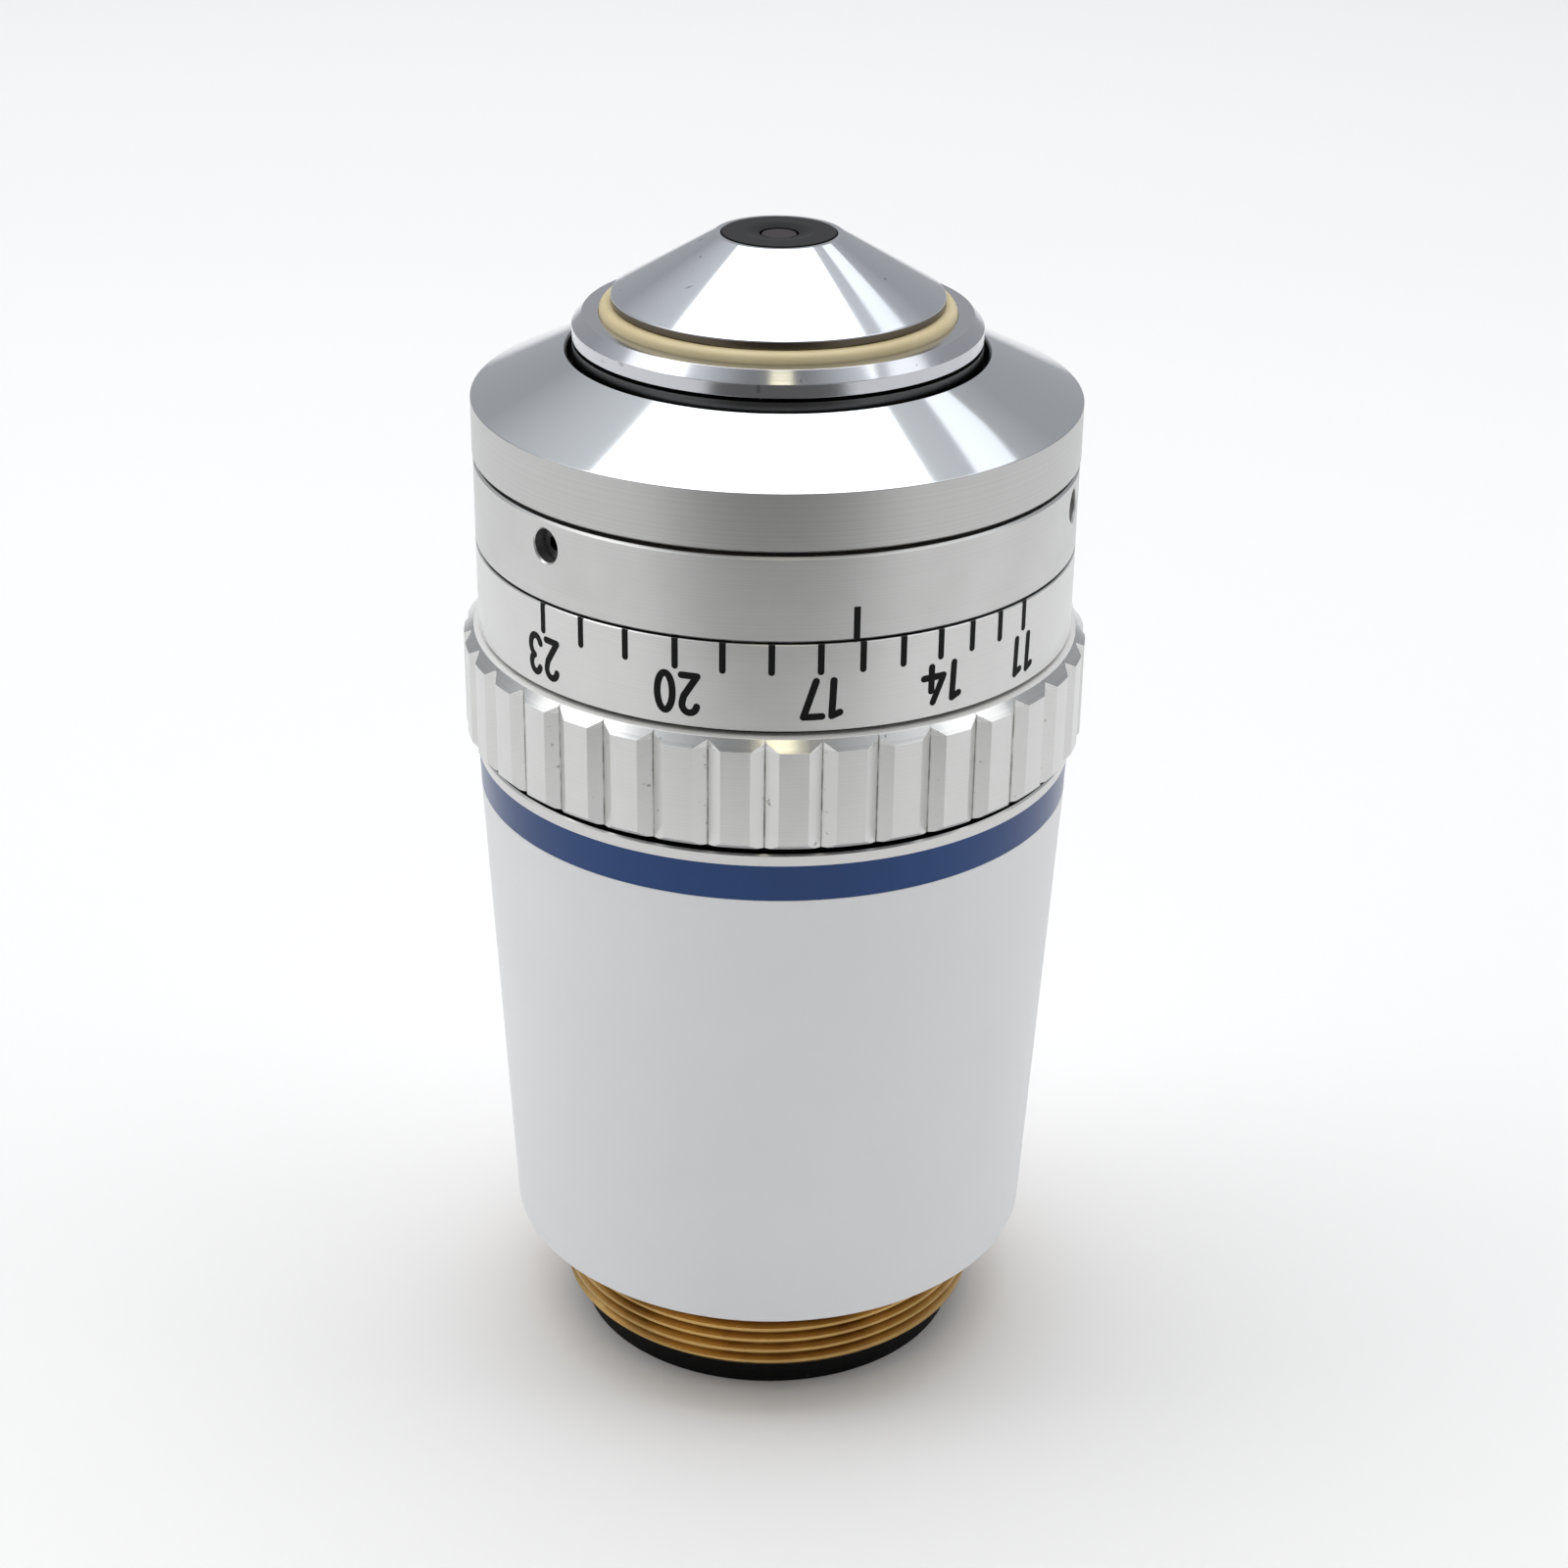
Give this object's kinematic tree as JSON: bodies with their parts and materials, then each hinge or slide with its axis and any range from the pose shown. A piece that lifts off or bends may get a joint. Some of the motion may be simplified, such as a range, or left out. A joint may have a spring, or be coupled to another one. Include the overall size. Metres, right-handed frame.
{
  "type": "microscope objective",
  "caption": "Immersion microscope objective with a fluted correction collar, a spring-loaded conical nose and a fine rear mounting thread.",
  "frame": {"origin": "centre of the rear face, on the optical axis; the objective stands on this face", "axes": "+Z along the optical axis from the thread end towards the front lens; the correction scale faces -Y"},
  "size_m": [0.035, 0.035, 0.0668],
  "materials": {
    "brass": "fine turned, lightly tarnished",
    "satin_chrome": "satin chrome plate over turned brass",
    "polished_chrome": "polished chrome plate",
    "black_anodised": "matt black",
    "optical_glass": "coated, polished",
    "spring_steel": "drawn wire",
    "dark_steel": "blackened",
    "blue_enamel": "enamel fill",
    "cream_seal": "smooth, slightly soft",
    "dark_washer": "matt"
  },
  "bodies": {
    "barrel": {"rear_ring": "black_anodised", "mount_thread": "brass", "body_sleeve": "satin_chrome", "colour_band": "blue_enamel", "guide_tube": "brass", "nose_guide_pin": "satin_chrome", "index_ring": "satin_chrome", "index_set_screws": "dark_steel", "front_cover": "satin_chrome", "friction_washer": "dark_washer", "main_spring": "spring_steel"},
    "collar": {"correction_collar": "satin_chrome", "drive_key": "satin_chrome"},
    "nose": {"lens_tube": "satin_chrome", "rear_guide_ring": "satin_chrome", "nose_flange": "polished_chrome", "nose_seal": "cream_seal", "nose_cone": "polished_chrome", "front_cell": "black_anodised", "front_lens": "optical_glass", "meniscus_lens": "optical_glass", "front_cell_nut": "black_anodised", "second_cell": "black_anodised", "second_lens": "optical_glass", "third_cell": "black_anodised", "third_lens": "optical_glass", "front_spacer": "black_anodised", "doublet_cell": "black_anodised", "doublet_crown": "optical_glass", "doublet_flint": "optical_glass", "middle_cell": "black_anodised", "middle_crown": "optical_glass", "middle_flint": "optical_glass", "rear_spacer": "black_anodised", "rear_cell": "black_anodised", "rear_lens": "optical_glass", "rear_retaining_nut": "black_anodised", "correction_spring": "spring_steel"},
    "cam": {"cam_ring": "brass"},
    "correction_group": {"correction_cell": "black_anodised", "correction_lock_ring": "black_anodised", "cam_pin": "satin_chrome", "correction_flint": "optical_glass", "correction_crown": "optical_glass"}
  },
  "joints": [
    {"name": "collar_turn", "type": "hinge", "parent": "barrel", "child": "collar", "pos_m": [0, 0, 0.044], "axis": [0, 0, 1], "range_deg": [-37.5, 61.4]},
    {"name": "nose_retract", "type": "slide", "parent": "barrel", "child": "nose", "axis": [0, 0, 1], "range_m": [-0.0025, 0], "stiffness_N_per_m": 800, "springref_m": 0.004, "deforming": ["main_spring"]},
    {"name": "cam_turn", "type": "hinge", "parent": "nose", "child": "cam", "pos_m": [0, 0, 0.04], "axis": [0, 0, 1], "range_deg": [-37.5, 61.4]},
    {"name": "correction_slide", "type": "slide", "parent": "nose", "child": "correction_group", "axis": [0, 0, 1], "range_m": [-0.0009, 0.00147], "deforming": ["correction_spring"]}
  ],
  "couplings": [
    {"joint": "collar_turn", "follows": "correction_slide", "rad_per_m": 727.22},
    {"joint": "cam_turn", "follows": "correction_slide", "rad_per_m": 727.22}
  ]
}
